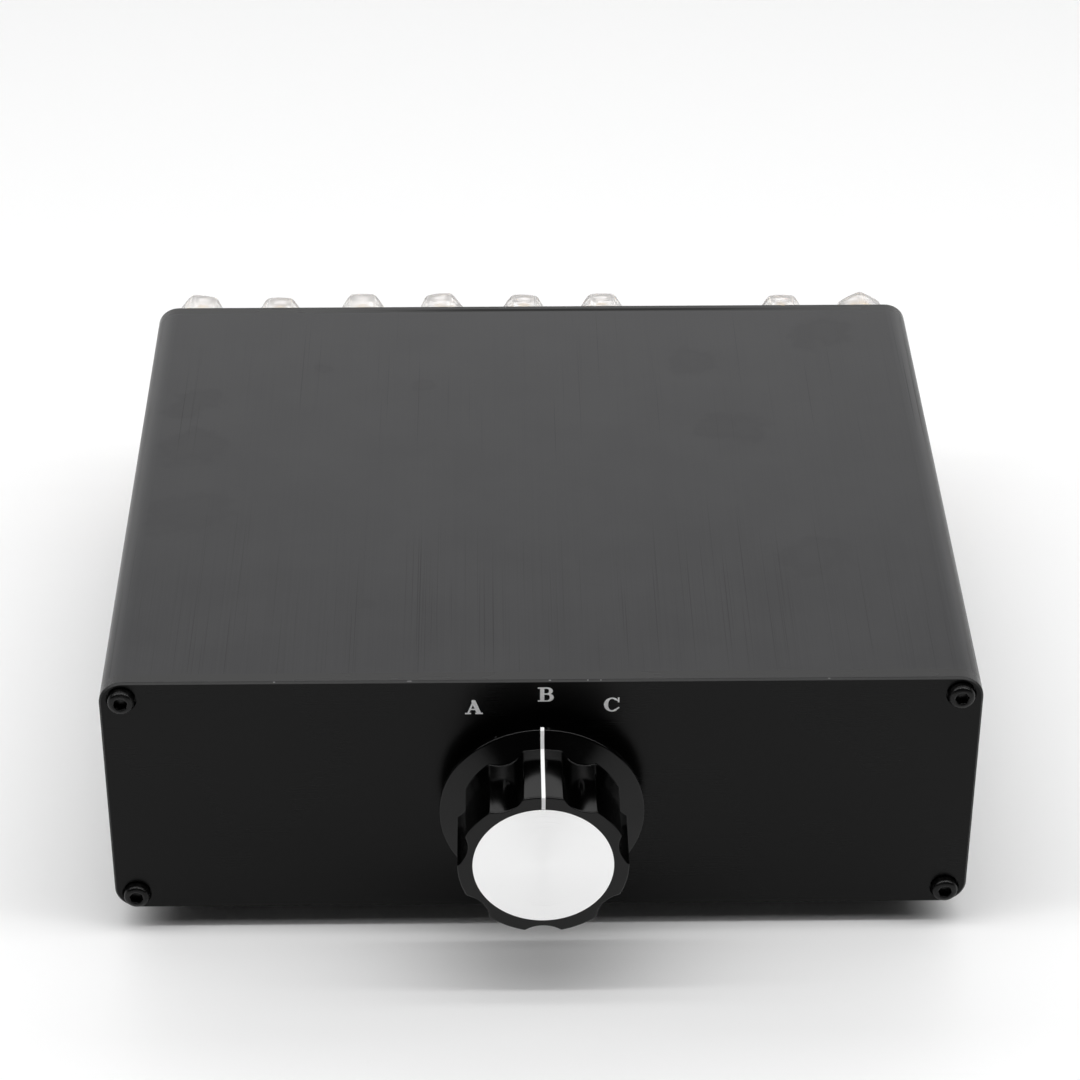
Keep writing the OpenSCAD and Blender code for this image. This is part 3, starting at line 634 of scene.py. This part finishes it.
outline = softened(knobShape["outline"], knobShape["edges"], knobShape["steps"])[:, :2]
outline = outline[(outline[:, 0] > pointerLook["inner"]) & (outline[:, 1] > pointerLook["back"])]
path = np.stack([np.full(len(outline), axisX), frontY - outline[:, 1] * mm, axisZ + outline[:, 0] * mm], 1)
run = np.diff(path, axis=0)
run /= np.linalg.norm(run, axis=1, keepdims=True)
mean = np.concatenate([run[:1], run[:-1] + run[1:], run[-1:]])  # mitred at the corners
mean /= np.linalg.norm(mean, axis=1, keepdims=True)
side = np.tile([1.0, 0.0, 0.0], (len(path), 1))
pointer = strip(path, side, np.cross(side, mean), pointerLook["width"] / 2, pointerLook["thick"],
                pointerLook["sink"])
putPiece("pointer_line", meshOf("pointer_line", *pointer), finishOf("pointerWhite", pointerWhite), "knob")
print("pointer made")

# disc: a turned plate whose face is a train of fine rings
discShape = {
    "radius": 14.0, "thick": 1.0, "front": 22.5, "pitch": 0.25, "ridge": 0.030, "edge": 0.12, "rim": 0.15,
    "sides": 128, "crease": 25,
}


def discSurface():
    d = discShape
    reach = np.arange(0.05, d["radius"] - 0.2, d["pitch"] / 4)
    face = np.stack([reach, d["front"] - d["ridge"] * (1 + np.cos(reach * 2 * math.pi / d["pitch"])) / 2], 1)
    back = d["front"] - d["thick"]
    rim = softened([[d["radius"] - d["rim"], d["front"]], [d["radius"], d["front"]], [d["radius"], back],
                    [0.05, back]], [d["edge"], 0.05])
    rows = np.concatenate([face, rim])[:, :, None]
    return turned(rows[:, 0], rows[:, 1], roundAngles(d["sides"]))


putPiece("knob_disc", meshOf("knob_disc", *stand(discSurface(), axisX / mm, frontY / mm, axisZ / mm, -1)),
         finishes["disc"], "knob", discShape["crease"], "knob_cap")

# socket screws: head with a six-sided key hole and a knurled side, and a threaded shank;
# the outline's last two columns say where the key's hexagon and the knurl take over
screwShape = {
    "inX": 4.5, "inZ": 4.0, "key": 2.5, "knurls": 30, "knurl": 0.10,
    "shank": 1.5, "top": -0.9, "tip": -13.2, "pitch": 0.5, "thread": 0.26, "fade": 0.6,
    "sides": 24, "crease": 40,
    "outline": [
        [0.2, 0.3, 0, 0], [1.25, 0.3, 1, 0], [1.25, 1.55, 1, 0], [1.56, 1.80, 0, 0], [1.85, 1.80, 0, 0],
        [2.42, 1.58, 0, 0], [2.66, 1.05, 0, 0], [2.66, 0.7, 0, 0], [2.66, 0.6, 0, 1], [2.66, -0.95, 0, 1],
        [2.66, -1.08, 0, 0], [2.58, -1.2, 0, 0], [0.2, -1.2, 0, 0]],
    "edges": [0.05, 0.05, 0.12, 0.5, 0.5, 0.3, 0.03, 0.03, 0.03, 0.03, 0.03],
    "turns": [17, 43, 8, 52, 31, 5, 24, 48],
}


def screwParts(turn):
    k = screwShape
    angle = roundAngles(4 * k["knurls"], turn)
    flat = angle - math.radians(turn)
    rows = softened(k["outline"], k["edges"], 4)[:, :, None]
    radius = rows[:, 0] + rows[:, 2] * (sixSided(flat, k["key"]) - rows[:, 0])
    radius = radius - rows[:, 3] * k["knurl"] * (1 - np.cos(k["knurls"] * flat)) / 2
    head = turned(radius, rows[:, 1], angle)
    along = np.arange(k["top"], k["tip"], -k["pitch"] / 4)[:, None]
    angle = roundAngles(k["sides"])
    taper = np.clip((along - k["tip"]) / k["fade"], 0, 1)
    crest = climb(along, angle, k["pitch"]) * taper
    return [head, turned(k["shank"] - k["thread"] * (1 - crest), along, angle)]


screws = []
corners = [(sx, sz) for sx in (-1, 1) for sz in (-1, 1)]
for number, turn in enumerate(screwShape["turns"]):  # four in front, then four behind
    sx, sz = corners[number % 4]
    x = sx * (panelHalf.x / mm - screwShape["inX"]) + panelMid.x / mm
    z = sz * (panelHalf.z / mm - screwShape["inZ"]) + panelMid.z / mm
    y, way = (frontY / mm, -1) if number < 4 else (backY / mm, 1)
    screws += [stand(part, x, y, z, way) for part in screwParts(turn)]
putPiece("panel_screw_set", meshOf("panel_screw_set", *joinParts(screws)), finishes["screw"], "case",
         screwShape["crease"], "panel_screws")

# brass inserts: two knurled bands with a groove between them, and a plain bore
insertShape = {
    "knurls": 36, "knurl": 0.16,
    "outline": [
        [3.07, 0, 0], [3.85, 0, 0], [4.07, 0.22, 0], [4.07, 0.4, 1], [4.07, 5.4, 1], [3.8, 5.6, 0],
        [3.8, 7.0, 0], [4.07, 7.2, 1], [4.07, 12.4, 1], [4.07, 12.58, 0], [3.85, 12.8, 0], [3.07, 12.8, 0]],
}
# clear caps: a hexagon with its corners turned off, hollow from the panel's side
capShape = {
    "flats": 10.6, "corner": 5.85, "blur": 0.10, "sides": 96,
    "outline": [
        [4.14, 0, 0], [5.6, 0, 1], [5.85, 0, 1], [5.85, 17.6, 1], [5.15, 18.3, 0.4], [2.4, 18.3, 0],
        [2.4, 16.8, 0], [3.14, 16.8, 0], [3.14, 12.87, 0], [4.14, 12.87, 0], [4.14, 0, 0]],
    "edges": [0.05, 0.3, 0.5, 0.5, 0.25, 0.08, 0.08, 0.08, 0.2],
    "turns": [8, 0, 0, 54, 3, 0, 0, 30, 12, 3, 26, 0, 9, 17, 4, 22],
}


def insertSurface():
    k = insertShape
    angle = roundAngles(4 * k["knurls"])
    rows = np.array(k["outline"])[:, :, None]
    groove = k["knurl"] * (1 - np.cos(k["knurls"] * angle)) / 2
    return turned(rows[:, 0] - rows[:, 2] * groove, rows[:, 1], angle, True)


def capSurface(turn):
    # the outline's radius is the corners' circle; where the third column is 1 the flat sides cut it
    k = capShape
    angle = roundAngles(k["sides"])
    rows = softened(k["outline"], k["edges"], 4)[:-1][:, :, None]
    side = sixSided(angle - math.radians(turn), k["flats"])
    inner = -k["blur"] * np.log(np.exp((k["corner"] - side) / k["blur"]) + 1) + k["corner"]
    return turned(rows[:, 0] - rows[:, 2] * (k["corner"] - inner), rows[:, 1], angle, True)


postCrease = 30  # degrees, for all turned parts of the posts and the feet
postNames = [row + "_%d" % (n + 1) for row in ("upper", "lower") for n in range(8)]
postSpots = []  # each post's x, its insert's end and z, in millimetres
for post in postNames:
    low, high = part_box("insert_" + post)
    postSpots.append(((low.x + high.x) / 2 / mm, low.y / mm, (low.z + high.z) / 2 / mm))
for post, spot, turn in zip(postNames, postSpots, capShape["turns"]):
    for kind, surface, node, slot in (("knurled_insert_", insertSurface(), "insert_", "gold"),
                                      ("clear_cap_", capSurface(turn), "cap_", "clear_plastic")):
        shape = meshOf(kind + post, *stand(surface, *spot))
        putPiece(kind + post, shape, finishes[slot], node + post, postCrease, node + post)

# collars: turned rings with a spigot through the panel, red at one post of each pair
collarShape = {
    "outline": [
        [2.55, -3.0], [4.5, -3.0], [4.5, 0.0], [6.5, 0.0], [6.5, 3.5], [2.55, 3.5], [2.55, -3.0]],
    "edges": [0.1, 0.05, 0.25, 0.45, 0.1],
    "sides": 64, "red": (0, 2, 4, 7),
}
rows = softened(collarShape["outline"], collarShape["edges"])[:-1][:, :, None]
ring = turned(rows[:, 0], rows[:, 1], roundAngles(collarShape["sides"]), True)
rings = {"red": [], "black": []}
for number, (x, y, z) in enumerate(postSpots):
    colour = "red" if number % 8 in collarShape["red"] else "black"
    rings[colour].append(stand(ring, x, backY / mm, z))
for colour, parts in rings.items():
    name, slot = "collar_set_" + colour, colour + "_plastic"
    putPiece(name, meshOf(name, *joinParts(parts)), finishes[slot], "case", postCrease,
             "collars_" + colour)

# stems: a turned outline from the solder cup to the bottom of the plug socket, with a hole
# for bare wire; the barrel's thread fades at both ends
stemShape = {
    "foot": [
        [0.05, -13.0], [1.3, -13.0], [1.3, -17.0], [2.5, -17.0], [2.5, 3.5], [5.2, 3.5], [5.2, 5.0],
        [3.0, 5.0], [3.0, 7.4]],
    "footEdges": [0.1, 0.15, 0.3, 0.05, 0.2, 0.25, 0.15],
    "mouth": [[3.0, 21.0], [3.0, 21.5], [2.05, 21.5], [2.05, 8.5], [0.05, 8.5]],
    "mouthEdges": [0.2, 0.2, 0.2],
    "barrel": 3.0, "first": 7.5, "last": 20.9, "pitch": 0.8, "thread": 0.30, "fade": 0.6,
    "hole": 1.0, "holeAt": 6.3, "holeHalf": 6.0, "sides": 40,
}


def stemSurface():
    k = stemShape
    along = np.arange(k["first"], k["last"], k["pitch"] / 4)
    deep = np.clip(np.minimum(along - k["first"], k["last"] - along) / k["fade"], 0, 1) * k["thread"]
    plain = [softened(k[end], k[end + "Edges"], 3) for end in ("foot", "mouth")]
    foot, mouth = (np.pad(end, [(0, 0), (0, 1)]) for end in plain)  # no thread there
    barrel = np.stack([np.full(len(along), k["barrel"]), along, deep], 1)
    rows = np.concatenate([foot, barrel, mouth])[:, :, None]
    angle = roundAngles(k["sides"])
    return turned(rows[:, 0] - rows[:, 2] * climb(rows[:, 1], angle, k["pitch"]), rows[:, 1], angle)


ends = np.array([[-1.0], [1.0]]) * stemShape["holeHalf"]
drillPoints, drillFaces = turned(np.full((2, 1), stemShape["hole"]), ends, roundAngles(24, drillTurn))
drillPoints = (drillPoints[:, [1, 0, 2]] + [0, stemShape["holeAt"], 0]) * mm
stem = drilled(meshOf("stem_blank", *stand(stemSurface(), 0, 0, 0)), drillPoints, drillFaces)
stemPoints = np.empty(3 * len(stem.vertices))
stem.vertices.foreach_get("co", stemPoints)
stemFaces = [list(face.vertices) for face in stem.polygons]
stems = [(stemPoints.reshape(-1, 3) + [x * mm, backY, z * mm], stemFaces) for x, y, z in postSpots]
putPiece("threaded_stem_set", meshOf("threaded_stem_set", *joinParts(stems)), finishes["gold"], "case",
         postCrease, "post_stems")

# feet: tapered rubber discs, hollow underneath, turned about upright axes
footShape = {
    "radius": 7.5, "outline": [[0.05, 5.5], [7.5, 5.5], [6.7, 0.0], [3.5, 0.0], [3.5, 1.5], [0.05, 1.5]],
    "edges": [0.3, 0.9, 0.4, 0.3], "sides": 64,
}
footLow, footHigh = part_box("rubber_feet")
rows = softened(footShape["outline"], footShape["edges"], 5)[:, :, None]
footPoints, footFaces = turned(rows[:, 0], rows[:, 1], roundAngles(footShape["sides"]))
footPoints = footPoints[:, [0, 2, 1]] * mm
inward = footShape["radius"] * mm
footSpots = [(x, y, footLow.z) for x in (footLow.x + inward, footHigh.x - inward)
             for y in (footLow.y + inward, footHigh.y - inward)]
putPiece("foot_set", meshOf("foot_set", *joinParts([(footPoints + spot, footFaces) for spot in footSpots])),
         finishes["rubber"], "case", postCrease, "rubber_feet")
print("knob, disc, screws, posts and feet made")

# floor, light and camera
floorLook = {"half": 6.0, "cloud": 3, "pale": 0.90, "rough": 0.5, "specular": 0.35}


def floorSheet(place):
    soft = cloud(place, floorLook["cloud"], 2)
    return {
        "Base Color": tint(soft, grey(floorLook["pale"] * 0.99), grey(floorLook["pale"])),
        "Roughness": floorLook["rough"] + 0.06 * (soft - 0.5),
        "Specular IOR Level": floorLook["specular"],
    }


h = floorLook["half"]
floorMesh = bpy.data.meshes.new("floor")
floorMesh.from_pydata([(-h, -h, 0), (h, -h, 0), (h, h, 0), (-h, h, 0)], [], [(0, 1, 2, 3)])
floorMesh.materials.append(finishOf("floorSheet", floorSheet))
floor = bpy.data.objects.new("floor", floorMesh)
bpy.context.scene.collection.objects.link(floor)
floor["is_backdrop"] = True

# a dim room with a white wall behind and a pale band along the horizon beside it, two narrow
# lamps and a wide one overhead, and one over the floor behind
lightLook = {
    "room": 0.04, "wall": 1.5, "wallEdge": (0.68, 0.77),
    "band": 0.8, "bandHeight": (0.12, 0.20), "bandEnd": (-0.45, -0.20),
    "lamps": [  # place, aim, size, watts
        ((0.0, -0.195, 0.90), (0.0, -0.195, 0.0), (3.0, 0.04), 6.4),
        ((0.0, -0.055, 0.90), (0.0, -0.055, 0.0), (3.0, 0.04), 3.2),
        ((0.0, -0.24, 1.30), (0.0, -0.24, 0.0), (5.0, 0.90), 16.0),
        ((0.0, 1.10, 1.70), (0.0, 0.90, 0.0), (5.0, 0.60), 18.5),
    ],
}
world = bpy.data.worlds.new("softRoom")
world.use_nodes = True
world.node_tree.nodes.clear()
way = Flow(world.node_tree).node("ShaderNodeTexCoord", out="Generated")
wayY, wayZ = axes(way)[1:]
wall = lightLook["wall"] * ramp(wayY, *lightLook["wallEdge"])
band = lightLook["band"] * (1 - ramp(abs(wayZ), *lightLook["bandHeight"])) * ramp(wayY, *lightLook["bandEnd"])
glow = way.node("ShaderNodeBackground", None, {
    "Color": (1, 1, 1, 1), "Strength": wall.most(band).most(lightLook["room"])})
way.node("ShaderNodeOutputWorld", None, {"Surface": glow})
bpy.context.scene.world = world
for number, (spot, aim, size, watts) in enumerate(lightLook["lamps"]):
    lamp = bpy.data.lights.new("softbox%d" % number, "AREA")
    lamp.shape, lamp.size, lamp.size_y, lamp.energy = "RECTANGLE", *size, watts
    holder = bpy.data.objects.new(lamp.name, lamp)
    holder.location = spot
    holder.rotation_euler = (Vector(aim) - Vector(spot)).to_track_quat("-Z", "Y").to_euler()
    holder.visible_camera = False
    bpy.context.scene.collection.objects.link(holder)

# the photograph's viewpoint: millimetres and degrees
cameraLook = {
    "spot": (-9.25, -606.3, 450.05), "down": 33.642, "turn": 0.947, "roll": 0.157,
    "lens": 110.58, "sensor": 36,
}
down, turn, roll = (math.radians(cameraLook[k]) for k in ("down", "turn", "roll"))
ahead = Vector((math.sin(turn) * math.cos(down), math.cos(turn) * math.cos(down), -math.sin(down)))
flat = Vector((math.cos(turn), -math.sin(turn), 0))
upright = flat.cross(ahead)
right = math.cos(roll) * flat + math.sin(roll) * upright
top = math.cos(roll) * upright - math.sin(roll) * flat
lens = bpy.data.cameras.new("camera")
lens.lens, lens.sensor_width = cameraLook["lens"], cameraLook["sensor"]
lens.clip_start, lens.clip_end = 0.01, 50
camera = bpy.data.objects.new("camera", lens)
facing = Matrix((right, top, -ahead)).transposed().to_4x4()
camera.matrix_world = Matrix.Translation(Vector(cameraLook["spot"]) * mm) @ facing
bpy.context.scene.collection.objects.link(camera)
bpy.context.scene.camera = camera
bpy.context.scene.view_settings.view_transform = "Standard"
print("floor, light and camera set")

low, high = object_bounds()
